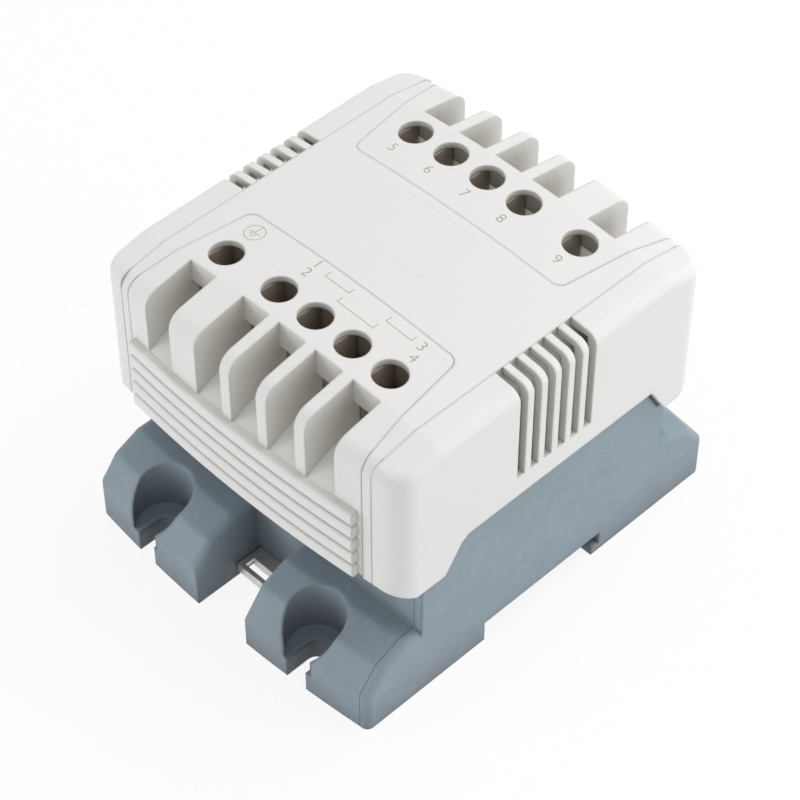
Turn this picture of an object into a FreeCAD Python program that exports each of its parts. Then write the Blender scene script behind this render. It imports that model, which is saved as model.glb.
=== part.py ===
import FreeCAD, Part
import math
import os
from types import SimpleNamespace
import Sketcher

# Rail mounted control transformer in a moulded housing. Units are millimetres.
# The origin is the middle of the foot plane, +X runs along the rail and the
# terminal rows, -Y is the side with the release clip, and +Z points up.

SIZES = {
    # Aids: how far cuts start outside, raw forms stand proud and joints overlap
    "overcut": 1.0,
    "blank": 5.0,
    "bite": 0.1,
    "groove_angle": 20.0,
    # Cover, outer form
    "side_room": 8.3,
    "cover_reach": 50.4,
    "head_room": 21.85,
    "crown_radius": 375.0,
    "cover_corner": 6.0,
    "cover_shoulder": 3.0,
    "cover_wall": 2.0,
    "slope_start": 35.3,
    "slope_drop": 2.85,
    "brow_round": 4.5,
    "front_edge": 40.3,
    "seam_gap": 0.12,
    "cap_width": 7.8,
    "cover_flange": 50.0,
    "flange_drop": 3.0,
    # Side covers: lower edge, corner ears and air slots
    "side_edge": 45.8,
    "ear_edge": 37.3,
    "ear_turn": 42.2,
    "ear_low_near": 33.7,
    "ear_mid_near": 28.8,
    "ear_mid_height": 44.4,
    "ear_high_near": 26.5,
    "ear_low_far": 37.5,
    "ear_high_far": 32.4,
    "ear_thickness": 2.2,
    "ear_clearance": 0.6,
    "end_wall": 46.2,
    "cap_shelf": 8.0,
    "cap_ceiling": 4.4,
    "cap_inset": 0.6,
    "vent_count": 6,
    "vent_pitch": 4.23,
    "vent_width": 2.3,
    "vent_middle": -0.2,
    "vent_floor": 52.0,
    # Terminal covers
    "lid_edge": 41.0,
    "lid_inner": 15.6,
    "lid_margin": 2.6,
    "lid_taper": 4.8,
    "lid_round": 2.6,
    "lid_plate": 1.6,
    "lid_hollow": 47.4,
    "lid_step": 3.2,
    "earth_edge": 4.6,
    "row_edge": 5.44,
    "terminal_pitch": 11.43,
    "terminal_count": 4,
    "terminal_row": 28.8,
    "screw_hole": 8.2,
    "well_width": 8.3,
    "well_back": 35.6,
    "well_wall": 2.0,
    "sill_depth": 14.9,
    "sill_fall": 6.9,
    "sill_reach": 52.4,
    "sill_radius": 60.0,
    "sill_plate": 2.0,
    "sill_hollow": 0.7,
    "lid_clearance": 1.0,
    "mouth_height": 7.5,
    "rib_count": 5,
    "rib_pitch": 4.23,
    "rib_height": 3.5,
    "rib_reach": 2.0,
    "rib_round": 0.8,
    "rib_angle": 10.9,
    # Base
    "base_inset": 1.65,
    "base_reach": 58.7,
    "tower_half": 39.2,
    "base_wall": 2.2,
    "base_floor": 8.0,
    "lip_height": 5.0,
    "lip_wall": 1.0,
    "lip_inset": 0.3,
    "lip_half": 34.0,
    "foot_gap": 16.4,
    "foot_height": 20.9,
    "foot_slope": 12.3,
    "foot_tip": 11.4,
    "foot_brow": 7.4,
    "foot_brow_drop": 3.2,
    "foot_corner": 1.8,
    "foot_round": 2.0,
    "bolt_spacing_x": 51.6,
    "bolt_middle_x": -1.4,
    "bolt_edge": 7.1,
    "bolt_slot": 5.8,
    "bolt_bore": 14.8,
    "bolt_seat": 6.0,
    # Rail seat
    "rail_depth": 6.0,
    "rail_step": 18.75,
    "hook_nose": 17.25,
    "hook_heel": 19.8,
    "hook_height": 2.4,
    "hook_pad": 4.8,
    "hook_pad_half": 36.0,
    # Release clip and its spring
    "clip_width": 15.6,
    "clip_sheet": 1.2,
    "clip_level": 3.6,
    "clip_play": 0.2,
    "clip_setback": 12.1,
    "clip_lip": 2.6,
    "clip_jaw": 13.2,
    "clip_bevel": 1.0,
    "clip_slot_length": 12.6,
    "clip_slot_width": 2.9,
    "clip_tab": 2.6,
    "clip_window": 5.2,
    "clip_tongue": 2.0,
    "clip_ledge": 10.0,
    "tongue_half": 0.9,
    "spring_outer": 4.0,
    "spring_wire": 0.5,
    "spring_length": 10.4,
    "spring_turns": 7,
    "spring_play": 0.4,
    "spring_gap": 0.1,
    "peg_length": 2.4,
    "peg_width": 3.0,
    # Core and its screws
    "core_limb": 26.0,
    "window_width": 13.0,
    "window_length": 39.0,
    "core_stack": 27.5,
    "core_hole_inset": 6.5,
    "core_screw": 4.0,
    "core_clearance": 0.5,
    "core_screw_length": 38.0,
    "pilot_depth": 11.0,
    "pilot_play": 0.05,
    "washer_sheet": 0.8,
    "washer_width": 8.4,
    "pillar_side": 10.0,
    # Coil
    "bobbin_wall": 1.2,
    "bobbin_play": 0.2,
    "flange_gap": 0.6,
    "flange_rise": 11.85,
    "floor_gap": 0.65,
    "primary_build": 4.6,
    "barrier_build": 0.5,
    "secondary_build": 4.0,
    "wrap_build": 0.4,
    "coil_gap": 0.1,
    # Terminal blocks, contact bars, saddles and screws
    "block_margin": 1.4,
    "block_front": 33.4,
    "block_back": 22.2,
    "block_side": 3.0,
    "block_wall": 2.0,
    "block_hollow": 10.0,
    "relief_gap": 0.6,
    "relief_height": 5.0,
    "chamber_width": 7.2,
    "chamber_back": 24.6,
    "notch_width": 4.8,
    "notch_shift": 1.4,
    "notch_depth": 1.2,
    "bar_depth": 16.3,
    "bar_sheet": 1.2,
    "bar_width": 7.0,
    "bar_tail": 3.0,
    "bar_play": 0.1,
    "bar_inset": 0.3,
    "tag_back": 20.6,
    "tag_below": 2.2,
    "clamp_screw": 4.0,
    "clamp_head": 7.0,
    "clamp_head_height": 2.4,
    "clamp_screw_length": 11.0,
    "screw_room": 2.0,
    "screw_play": 0.3,
    "saddle_side": 7.0,
    "saddle_lift": 2.8,
    "saddle_sheet": 1.2,
    "saddle_lip": 1.0,
    "saddle_lip_width": 1.1,
    "saddle_play": 0.2,
    "slot_width": 1.1,
    "slot_depth": 1.3,
    "lead_wire": 0.9,
    "lead_gap": 0.28,
    "lead_seat": 0.05,
    "lead_rise": 2.15,
    "strap_width": 5.0,
    "strap_gap": 0.1,
    "strap_inset": 0.3,
}


class Size:
    """A length with its value now and the sheet formula that gives it."""

    def __init__(self, value, formula):
        self.value = float(value)
        self.formula = formula

    def combine(self, other, sign, swap=False):
        other = as_size(other)
        first, second = (other, self) if swap else (self, other)
        results = {
            "+": lambda a, b: a + b,
            "-": lambda a, b: a - b,
            "*": lambda a, b: a * b,
            "/": lambda a, b: a / b,
        }
        value = results[sign](first.value, second.value)
        return Size(value, f"({first.formula} {sign} {second.formula})")

    def __add__(self, other):
        return self.combine(other, "+")

    def __radd__(self, other):
        return self.combine(other, "+", swap=True)

    def __sub__(self, other):
        return self.combine(other, "-")

    def __rsub__(self, other):
        return self.combine(other, "-", swap=True)

    def __mul__(self, other):
        return self.combine(other, "*")

    def __rmul__(self, other):
        return self.combine(other, "*", swap=True)

    def __truediv__(self, other):
        return self.combine(other, "/")

    def __neg__(self):
        return as_size(0) - self


def as_size(number):
    """A plain number as a Size, and a Size as it is."""
    if isinstance(number, Size):
        return number
    return Size(number, repr(float(number)))


def root(size):
    """The square root of a Size."""
    return Size(math.sqrt(size.value), f"sqrt({size.formula})")


doc = FreeCAD.newDocument("rail_transformer")
sheet = doc.addObject("Spreadsheet::Sheet", "Sizes")
for row, (word, number) in enumerate(SIZES.items(), start=1):
    sheet.set(f"A{row}", word)
    sheet.set(f"B{row}", str(number))
    sheet.setAlias(f"B{row}", word)
doc.recompute()

S = SimpleNamespace(**{word: Size(number, f"Sizes.{word}") for word, number in SIZES.items()})
V = FreeCAD.Vector

# The core and its coil, standing on the base's floor
S.core_length = 2 * (S.core_limb + S.window_width)
S.core_depth = S.core_limb + S.window_length
S.core_hole_x = S.core_length / 2 - S.core_hole_inset
S.core_hole_y = S.core_depth / 2 - S.core_hole_inset
S.flange_half_x = S.core_limb / 2 + S.window_width - S.flange_gap
S.flange_half_z = S.core_stack / 2 + S.flange_rise
S.core_seat = S.base_floor + S.floor_gap + S.flange_rise
S.flange_top = S.core_seat + S.core_stack + S.flange_rise

# The housing round them, and the terminals from its side and top inwards
S.cover_width = S.core_length + 2 * S.side_room
S.cover_top = S.flange_top + S.head_room
S.base_width = S.cover_width - 2 * S.base_inset
S.seam_half = S.cover_width / 2 - S.cap_width
S.lid_half_outer = S.seam_half - S.lid_margin
S.lid_half_inner = S.lid_half_outer - S.lid_taper
S.block_half = S.lid_half_inner - S.block_margin
S.earth_place = S.block_half - S.earth_edge
S.terminal_run = S.terminal_pitch * (S.terminal_count - 1)
S.terminal_place = S.terminal_run - S.block_half + S.row_edge
S.sill_high = S.cover_top - S.sill_depth
S.sill_low = S.sill_high - S.sill_fall
S.mouth_top = S.sill_high + S.mouth_height
S.bar_seat = S.cover_top - S.bar_depth
S.saddle_low = S.bar_seat + S.saddle_lift
S.lead_height = S.flange_top + S.lead_rise
S.tag_low = S.lead_height - S.tag_below

# The feet and the clip, from the ends of the base inwards
S.foot_shelf = S.base_reach - S.foot_slope
S.bolt_row = S.base_reach - S.bolt_edge
S.clip_front = S.base_reach - S.clip_setback
S.peg_front = S.tower_half - S.base_wall
S.tower_room = S.tower_half + S.lip_inset

PLANES = {"X": ("YZ_Plane", 1), "Y": ("XZ_Plane", -1), "Z": ("XY_Plane", 1)}
NEAR = 0.05
parts = []


def bind(item, setting, size):
    """Give a setting of an object its formula, so that it follows the sheet."""
    item.setExpression(setting, as_size(size).formula)


def new_body(name):
    """An empty body that will become one sub-part or one building shape."""
    body = doc.addObject("PartDesign::Body", name)
    body.Label = name
    return body


def plane_of(body, role):
    """One of the body's own three origin planes."""
    return [plane for plane in body.Origin.OriginFeatures if plane.Role == role][0]


def new_sketch(body, name, role, lift=0, shift=(0, 0)):
    """A sketch on an origin plane, lifted along its normal and shifted in it."""
    sketch = body.newObject("Sketcher::SketchObject", f"{body.Name}_{name}")
    sketch.AttachmentSupport = (plane_of(body, role), [""])
    sketch.MapMode = "FlatFace"
    bind(sketch, "AttachmentOffset.Base.x", shift[0])
    bind(sketch, "AttachmentOffset.Base.y", shift[1])
    bind(sketch, "AttachmentOffset.Base.z", lift)
    return sketch


def pin_point(sketch, edge, end, across, up):
    """Hold one point of an edge at its two distances from the sketch's origin."""
    for kind, size in (("DistanceX", across), ("DistanceY", up)):
        size = as_size(size)
        index = sketch.addConstraint(Sketcher.Constraint(kind, -1, 1, edge, end, size.value))
        sketch.setExpression(f"Constraints[{index}]", size.formula)


def add_outline(sketch, corners, arcs=None):
    """A closed outline through its corners.

    arcs gives, for the corner that an edge starts at, the radius of that edge
    and the side on which its centre lies: +1 left of the way round, -1 right.
    """
    arcs = arcs or {}
    points = [V(as_size(x).value, as_size(y).value, 0) for x, y in corners]
    first = sketch.GeometryCount
    count = len(points)
    starts = []
    for index, start in enumerate(points):
        end = points[(index + 1) % count]
        if index not in arcs:
            sketch.addGeometry(Part.LineSegment(start, end))
            starts.append((1, 2))
            continue
        radius, side = arcs[index]
        chord = end - start
        normal = V(-chord.y, chord.x, 0).normalize()
        sag = math.sqrt(radius.value ** 2 - (chord.Length / 2) ** 2)
        centre = (start + end) * 0.5 + normal * (side * sag)
        turn_from = math.atan2(start.y - centre.y, start.x - centre.x)
        turn_to = math.atan2(end.y - centre.y, end.x - centre.x)
        if side < 0:
            turn_from, turn_to = turn_to, turn_from
        if turn_to < turn_from:
            turn_to += 2 * math.pi
        circle = Part.Circle(centre, V(0, 0, 1), radius.value)
        sketch.addGeometry(Part.ArcOfCircle(circle, turn_from, turn_to))
        starts.append((1, 2) if side > 0 else (2, 1))
    for index in range(count):
        after = (index + 1) % count
        sketch.addConstraint(Sketcher.Constraint(
            "Coincident", first + index, starts[index][1], first + after, starts[after][0]))
    for index, (across, up) in enumerate(corners):
        pin_point(sketch, first + index, starts[index][0], across, up)
    for index, (radius, side) in arcs.items():
        place = sketch.addConstraint(Sketcher.Constraint("Radius", first + index, radius.value))
        sketch.setExpression(f"Constraints[{place}]", radius.formula)


def box(low_across, high_across, low_up, high_up):
    """The four corners of a rectangle."""
    return [(low_across, low_up), (high_across, low_up),
            (high_across, high_up), (low_across, high_up)]


def add_circle(sketch, across, up, radius):
    """A circle held by its centre and radius."""
    across, up, radius = as_size(across), as_size(up), as_size(radius)
    circle = Part.Circle(V(across.value, up.value, 0), V(0, 0, 1), radius.value)
    edge = sketch.addGeometry(circle)
    pin_point(sketch, edge, 3, across, up)
    place = sketch.addConstraint(Sketcher.Constraint("Radius", edge, radius.value))
    sketch.setExpression(f"Constraints[{place}]", radius.formula)


def through(body, kind, name, along, low, high, draw):
    """A Pad or a Pocket of a drawn outline from one height to another on an axis."""
    role, sign = PLANES[along]
    sketch = new_sketch(body, name, role, as_size(low) if sign > 0 else -as_size(high))
    draw(sketch)
    feature = body.newObject(f"PartDesign::{kind}", f"{sketch.Name}_{kind.lower()}")
    feature.Profile = sketch
    feature.Reversed = kind == "Pocket"
    bind(feature, "Length", as_size(high) - low)
    return feature


def add(body, name, along, low, high, corners, arcs=None):
    """Add an outline as material between two heights on an axis."""
    return through(body, "Pad", name, along, low, high,
                   lambda sketch: add_outline(sketch, corners, arcs))


def add_round(body, name, along, low, high, across, up, radius):
    """Add a round post between two heights on an axis."""
    return through(body, "Pad", name, along, low, high,
                   lambda sketch: add_circle(sketch, across, up, radius))


def cut(body, name, along, low, high, corners, arcs=None):
    """Cut an outline away between two heights on an axis."""
    return reached(body, through(body, "Pocket", name, along, low, high,
                                 lambda sketch: add_outline(sketch, corners, arcs)))


def bore(body, name, along, low, high, across, up, radius):
    """Cut a round hole between two heights on an axis."""
    return reached(body, through(body, "Pocket", name, along, low, high,
                                 lambda sketch: add_circle(sketch, across, up, radius)))


def reached(body, feature):
    """Make sure that a cut took material away."""
    doc.recompute()
    if not feature.Shape.Volume < feature.BaseFeature.Shape.Volume:
        raise ValueError(f"{feature.Name} on {body.Name} cuts nothing")
    return feature


def turn(body, kind, name, shift, axis, degrees, corners, arcs=None):
    """A Revolution or a Groove, half to each side, about an axis of its sketch."""
    sketch = new_sketch(body, name, "YZ_Plane", shift=shift)
    add_outline(sketch, corners, arcs)
    feature = body.newObject(f"PartDesign::{kind}", f"{sketch.Name}_{kind.lower()}")
    feature.Profile = sketch
    feature.ReferenceAxis = (sketch, [axis])
    bind(feature, "Angle", degrees)
    feature.Midplane = True
    doc.recompute()
    return feature


def round_edges(body, name, radius, wanted):
    """A fillet on the body's edges that a test picks by their place."""
    doc.recompute()
    before = body.Tip
    edges = [f"Edge{number}" for number, edge in enumerate(before.Shape.Edges, start=1)
             if wanted(edge)]
    if not edges:
        raise ValueError(f"{name} finds no edge on {body.Name}")
    feature = body.newObject("PartDesign::Fillet", f"{body.Name}_{name}")
    feature.Base = (before, edges)
    bind(feature, "Radius", radius)
    doc.recompute()
    return feature


def repeat(body, name, features, axis, length, count):
    """Copies of features at even steps along an axis of the first one's sketch."""
    pattern = body.newObject("PartDesign::LinearPattern", f"{body.Name}_{name}")
    pattern.Originals = features
    pattern.Direction = (features[0].Profile[0], [axis])
    bind(pattern, "Length", length)
    bind(pattern, "Occurrences", count)
    body.Tip = pattern
    doc.recompute()
    return pattern


def keep(item):
    """List a finished object as one sub-part of the product."""
    parts.append(item)
    return item


def shape_part(name, shape, placement=None):
    """A sub-part made of copies of finished shapes."""
    item = doc.addObject("Part::Feature", name)
    item.Label = name
    item.Shape = shape
    if placement:
        item.Placement = placement
    return keep(item)


HALF_TURN = FreeCAD.Placement(V(0, 0, 0), FreeCAD.Rotation(V(0, 0, 1), 180))


def other_side(name, body):
    """The same moulding again, turned half round to the other side."""
    return shape_part(name, body.Shape.copy(), HALF_TURN)


def arc_reach(reach, half):
    """How far out a bowed end face with the crown's radius stands at half a width."""
    return reach - S.crown_radius + root(S.crown_radius * S.crown_radius - half * half)


def slope_at(reach):
    """How far the top has dropped on its end slope at a distance from the middle."""
    run = S.cover_reach - S.slope_start
    return S.slope_drop * (reach - S.slope_start) / run


def cut_crown(body):
    """The crowned top with a slope to each end: a groove about the crown's axis."""
    past = S.cover_reach + S.overcut
    low = S.crown_radius - slope_at(past)
    high = S.crown_radius + 2 * S.blank
    corners = [(-past, low), (-S.slope_start, S.crown_radius), (S.slope_start, S.crown_radius),
               (past, low), (past, high), (-past, high)]
    turn(body, "Groove", "crown", (0, S.cover_top - S.crown_radius), "H_Axis",
         S.groove_angle, corners)


def on_brow(edge):
    """Whether an edge is where the top meets a bowed end face."""
    bound = edge.BoundBox
    far_out = abs(bound.Center.y) > S.end_wall.value
    return far_out and bound.ZMin > S.sill_high.value and bound.ZLength < S.cover_wall.value


def is_upright(edge, x, y):
    """Whether an edge is upright and stands at a place, either sign."""
    bound = edge.BoundBox
    if bound.XLength > NEAR or bound.YLength > NEAR:
        return False
    return abs(abs(bound.XMin) - x.value) < NEAR and abs(abs(bound.YMin) - y.value) < NEAR


# Terminal cover: one moulding with five wire wells, their screw holes and the
# grip ribs on its bowed front. The rear one is the same moulding turned round.

def make_terminal_cover():
    """The front terminal cover."""
    body = new_body("terminal_cover_front")
    inner, outer = S.lid_half_inner, S.lid_half_outer
    front = arc_reach(S.cover_reach, outer)
    add(body, "form", "Z", S.lid_edge, S.cover_top + S.blank,
        [(-outer, -front), (outer, -front), (inner, -S.lid_inner), (-inner, -S.lid_inner)],
        {0: (S.crown_radius, 1)})
    cut_crown(body)
    round_edges(body, "corners", S.lid_round, lambda e: is_upright(e, inner, S.lid_inner))
    round_edges(body, "brow", S.brow_round, on_brow)
    # Room for the terminal block under the crowned plate, open to the inside
    back = S.well_back - S.well_wall
    room = S.block_half + S.seam_gap
    plate = S.crown_radius - S.lid_plate
    ceiling = S.cover_top - S.crown_radius + root(plate * plate - room * room)
    under = S.lid_edge - S.overcut
    cut(body, "room", "Y", -back, S.overcut - S.lid_inner,
        [(-room, under), (room, under), (room, ceiling), (-room, ceiling)], {2: (plate, 1)})
    # Hollow under the sloping sills, behind the ribbed front
    tower = S.tower_room
    floor = S.lid_edge + S.cover_wall
    cut(body, "hollow", "X", -room, room,
        [(S.bite - back, under), (S.bite - back, S.sill_high - S.sill_plate),
         (-S.lid_hollow, S.sill_low + S.sill_hollow), (-S.lid_hollow, floor),
         (-tower, floor), (-tower, under)])
    # Step over the tower's top edge and over the core with its screws
    step = S.side_edge + S.lip_inset
    head = S.core_seat + S.core_stack + S.washer_sheet + S.clamp_head_height
    high_step = head + S.lid_clearance
    ledge = S.tower_half - S.lid_step
    open_side = S.overcut - S.lid_inner
    cut(body, "step", "X", -outer - S.overcut, outer + S.overcut,
        [(-tower, under), (-tower, step), (-ledge, step), (-ledge, high_step),
         (open_side, high_step), (open_side, under)])
    # Wells with a curved sill, their wire mouths and the screw holes
    cut_well(body, "earth", -S.earth_place)
    first = cut_well(body, "first", -S.terminal_place)
    repeat(body, "wells", first, "H_Axis", S.terminal_run, S.terminal_count)
    # Grip ribs round the bowed front
    centre = S.crown_radius - S.cover_reach
    proud = S.crown_radius + S.rib_reach
    low, high, turn_in = S.lid_edge, S.lid_edge + S.rib_height, S.rib_round
    rib = turn(body, "Revolution", "rib", (centre, 0), "V_Axis", S.rib_angle,
               [(S.overcut - S.crown_radius, low), (S.overcut - S.crown_radius, high),
                (turn_in - proud, high),
                (-proud, high - turn_in), (-proud, low + turn_in), (turn_in - proud, low)],
               {2: (turn_in, 1), 4: (turn_in, 1)})
    repeat(body, "ribs", [rib], "V_Axis", S.rib_pitch * (S.rib_count - 1), S.rib_count)
    return body


def cut_well(body, name, middle):
    """One screw hole with its wire well and wire mouth."""
    low, high = middle - S.well_width / 2, middle + S.well_width / 2
    top = S.cover_top + S.blank
    hole = bore(body, name + "_hole", "Z", S.mouth_top, top, middle, -S.terminal_row,
                S.screw_hole / 2)
    well = cut(body, name + "_well", "X", low, high,
               [(-S.well_back, S.sill_high), (-S.well_back, top),
                (-S.sill_reach, top), (-S.sill_reach, S.sill_low)],
               {3: (S.sill_radius, -1)})
    mouth = cut(body, name + "_mouth", "Y", -S.well_back - S.overcut,
                S.well_wall - S.well_back + S.overcut, box(low, high, S.sill_high, S.mouth_top))
    return [hole, well, mouth]


# Top cover: the middle shell with a notch at each end for a terminal cover.

def make_top_cover():
    """The middle cover."""
    body = new_body("top_cover")
    half = S.seam_half - S.seam_gap / 2
    inner, outer = S.lid_half_inner + S.seam_gap, S.lid_half_outer + S.seam_gap
    edge, corner = arc_reach(S.cover_reach, half), arc_reach(S.cover_reach, outer)
    notch = S.lid_inner - S.seam_gap
    arc = (S.crown_radius, 1)
    add(body, "form", "Z", S.front_edge, S.cover_top + S.blank,
        [(-half, -edge), (-outer, -corner), (-inner, -notch), (inner, -notch),
         (outer, -corner), (half, -edge), (half, edge), (outer, corner),
         (inner, notch), (-inner, notch), (-outer, corner), (-half, edge)],
        {0: arc, 4: arc, 6: arc, 10: arc})
    cut_crown(body)
    round_edges(body, "corners", S.lid_round + S.seam_gap, lambda e: is_upright(e, inner, notch))
    round_edges(body, "brow", S.brow_round, on_brow)
    # Hollow under the plate, between the end legs
    ceiling = S.crown_radius - S.cover_wall
    low = ceiling - slope_at(S.end_wall)
    floor = S.crown_radius - S.cover_top + S.front_edge - S.overcut
    turn(body, "Groove", "hollow", (0, S.cover_top - S.crown_radius), "H_Axis", S.groove_angle,
         [(-S.end_wall, floor), (S.end_wall, floor), (S.end_wall, low),
          (S.slope_start, ceiling), (-S.slope_start, ceiling), (-S.end_wall, low)])
    # Side walls under the plate, next to the side covers
    edge_drop = S.cover_top - S.flange_drop
    end_drop = edge_drop - slope_at(S.end_wall)
    end = S.end_wall + S.bite
    for word, low in (("left", -half), ("right", half - S.cover_wall)):
        add(body, word + "_wall", "X", low, low + S.cover_wall,
            [(-end, S.cover_flange), (end, S.cover_flange), (end, end_drop),
             (S.slope_start, edge_drop), (-S.slope_start, edge_drop), (-end, end_drop)])
    doc.recompute()
    return body


# Side cover: an end cap with air slots, its lower edge stepping down to an ear
# at each corner. The left one is the same moulding turned round.

def make_side_cover():
    """The right side cover."""
    body = new_body("side_cover_right")
    seam, outer = S.seam_half + S.seam_gap / 2, S.cover_width / 2
    edge, corner = arc_reach(S.cover_reach, seam), arc_reach(S.cover_reach, outer)
    arc = (S.crown_radius, 1)
    add(body, "form", "Z", S.ear_edge, S.cover_top + S.blank,
        [(seam, -edge), (outer, -corner), (outer, corner), (seam, edge)],
        {0: arc, 2: arc})
    cut_crown(body)
    round_edges(body, "corners", S.cover_corner, lambda e: is_upright(e, outer, corner))
    round_edges(body, "shoulder", S.cover_shoulder, on_shoulder)
    # Lower edge between the two ears
    under = S.ear_edge - S.overcut
    beyond = S.cover_reach + S.overcut
    end = S.end_wall + S.cover_wall
    inward = seam - S.overcut
    cut(body, "edge", "X", inward, outer + S.overcut,
        [(-beyond, under), (beyond, under), (beyond, S.front_edge), (end, S.front_edge),
         (S.ear_turn, S.ear_edge), (S.ear_low_far, S.ear_edge), (S.ear_high_far, S.side_edge),
         (-S.ear_high_near, S.side_edge), (-S.ear_mid_near, S.ear_mid_height),
         (-S.ear_low_near, S.ear_edge), (-S.ear_turn, S.ear_edge), (-end, S.front_edge),
         (-beyond, S.front_edge)])
    # Inside: the shell, its crown, and the passage over the base's side walls
    wall = outer - S.cover_wall
    bevel = S.cover_corner - S.cover_wall
    floor = S.front_edge + S.cover_wall
    shelf = S.cover_top - S.cap_shelf
    cut(body, "shell", "Z", floor, shelf,
        [(inward, -S.end_wall), (wall - bevel, -S.end_wall), (wall, bevel - S.end_wall),
         (wall, S.end_wall - bevel), (wall - bevel, S.end_wall), (inward, S.end_wall)])
    cut(body, "crown_room", "Z", shelf, S.cover_top - S.cap_ceiling,
        box(inward, wall - S.cap_inset, -S.slope_start, S.slope_start))
    cut(body, "passage", "Z", under, S.side_edge,
        box(inward, outer - S.ear_thickness, -S.tower_room, S.tower_room))
    # Air slots over the shoulder
    run = S.vent_pitch * (S.vent_count - 1)
    start = S.vent_middle - run / 2
    slot = cut(body, "slot", "Z", S.vent_floor, S.cover_top,
               box(inward, outer + S.overcut, start - S.vent_width / 2,
                   start + S.vent_width / 2))
    repeat(body, "slots", [slot], "V_Axis", run, S.vent_count)
    return body


def on_shoulder(edge):
    """Whether an edge of a side cover is where its top meets its outer faces."""
    bound = edge.BoundBox
    return bound.ZMin > S.vent_floor.value and bound.XMax > S.seam_half.value + S.overcut.value


# Base: one moulding with two pairs of slotted feet, the rail seat with its
# fixed hook, the channel of the release clip and the pillars for the core.

def make_base():
    """The base moulding."""
    body = new_body("base")
    half = S.base_width / 2
    corner = arc_reach(S.base_reach, half)
    arc = (S.crown_radius, 1)
    add(body, "feet", "Z", 0, S.foot_height,
        [(-half, -corner), (half, -corner), (half, corner), (-half, corner)],
        {0: arc, 2: arc})
    round_edges(body, "corners", S.foot_corner, lambda e: is_upright(e, half, corner))
    # The slopes of the feet follow their bowed ends
    past = S.base_reach + S.overcut
    high = S.foot_height + S.overcut
    centre = S.crown_radius - S.base_reach
    for word, side in (("front", 1), ("rear", -1)):
        shift = side * centre
        brow = S.foot_shelf + S.foot_brow
        corners = [(-side * S.foot_shelf - shift, S.foot_height),
                   (-side * brow - shift, S.foot_height - S.foot_brow_drop),
                   (-side * S.base_reach - shift, S.foot_tip),
                   (-side * past - shift, S.foot_tip),
                   (-side * past - shift, high), (-side * S.foot_shelf - shift, high)]
        turn(body, "Groove", word + "_slope", (shift, 0), "V_Axis", S.groove_angle, corners)
    # Gaps between the feet of a pair
    gap = S.foot_gap / 2
    for word, near, far in (("front", -past, -S.tower_half), ("rear", S.tower_half, past)):
        cut(body, word + "_gap", "Z", -S.overcut, high, box(-gap, gap, near, far))
    round_edges(body, "foot_tops", S.foot_round, on_foot_top)
    # Slotted screw seats, two at each end
    first = S.bolt_middle_x - S.bolt_spacing_x / 2
    for word, side in (("front", -1), ("rear", 1)):
        row = side * S.bolt_row
        near, far = (-past, row) if side < 0 else (row, past)
        seat = bore(body, word + "_seat", "Z", S.bolt_seat, high, first, row, S.bolt_bore / 2)
        hole = bore(body, word + "_hole", "Z", -S.overcut, high, first, row, S.bolt_slot / 2)
        slot = cut(body, word + "_slot", "Z", -S.overcut, high,
                   box(first - S.bolt_slot / 2, first + S.bolt_slot / 2, near, far))
        repeat(body, word + "_seats", [seat, hole, slot], "H_Axis", S.bolt_spacing_x, 2)
    # Tower with its inside, the ear recesses and the locating lips
    rooted = S.base_floor - S.bite
    add(body, "tower", "Z", rooted, S.side_edge,
        box(-half, half, -S.tower_half, S.tower_half))
    inner, depth = half - S.base_wall, S.tower_half - S.base_wall
    cut(body, "inside", "Z", S.base_floor, S.side_edge + S.overcut,
        box(-inner, inner, -depth, depth))
    lip = S.cover_width / 2 - S.cover_wall - S.lip_inset
    for word, side in (("left", -1), ("right", 1)):
        recess_ear(body, word, side)
        low, high = sorted((side * lip, side * (lip - S.lip_wall)), key=lambda size: size.value)
        add(body, word + "_lip", "Z", S.side_edge - S.bite, S.side_edge + S.lip_height,
            box(low, high, -S.lip_half, S.lip_half))
    doc.recompute()
    cut_rail_seat(body)
    # Pillars under the core, with the holes for its screws
    side = S.pillar_side / 2
    for number, (across, out) in enumerate(((-1, -1), (1, -1), (1, 1), (-1, 1)), start=1):
        x, y = across * S.core_hole_x, out * S.core_hole_y
        add(body, f"pillar_{number}", "Z", rooted, S.core_seat,
            box(x - side, x + side, y - side, y + side))
        bore(body, f"pilot_{number}", "Z", S.core_seat - S.pilot_depth,
             S.core_seat + S.overcut, x, y, S.core_screw / 2 + S.pilot_play)
    return body


def recess_ear(body, word, side):
    """Room for the two ears of a side cover in the tower's side wall."""
    half = S.base_width / 2
    floor = S.cover_width / 2 - S.ear_thickness - S.seam_gap
    outside = half + S.overcut
    low, high = (floor, outside) if side > 0 else (-outside, -floor)
    under = S.ear_edge - S.ear_clearance
    beyond = S.tower_half + S.overcut
    above = S.side_edge + S.overcut
    near, far = -side, side
    cut(body, word + "_near_ear", "X", low, high,
        [(near * beyond, under), (near * beyond, above),
         (near * (S.ear_high_near - S.ear_clearance), above),
         (near * (S.ear_high_near - S.ear_clearance), S.side_edge),
         (near * (S.ear_mid_near - S.ear_clearance), S.ear_mid_height),
         (near * (S.ear_low_near - S.ear_clearance), under)])
    cut(body, word + "_far_ear", "X", low, high,
        [(far * beyond, under), (far * beyond, above),
         (far * (S.ear_high_far - S.ear_clearance), above),
         (far * (S.ear_high_far - S.ear_clearance), S.side_edge),
         (far * (S.ear_low_far - S.ear_clearance), under)])


def on_foot_top(edge):
    """Whether an edge bounds a foot top, the ones at the tower's wall left out."""
    bound = edge.BoundBox
    outward = min(abs(bound.YMin), abs(bound.YMax))
    at_tower = bound.YLength < NEAR and abs(outward - S.tower_half.value) < NEAR
    return bound.ZMin > S.bolt_seat.value and not at_tower


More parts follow.
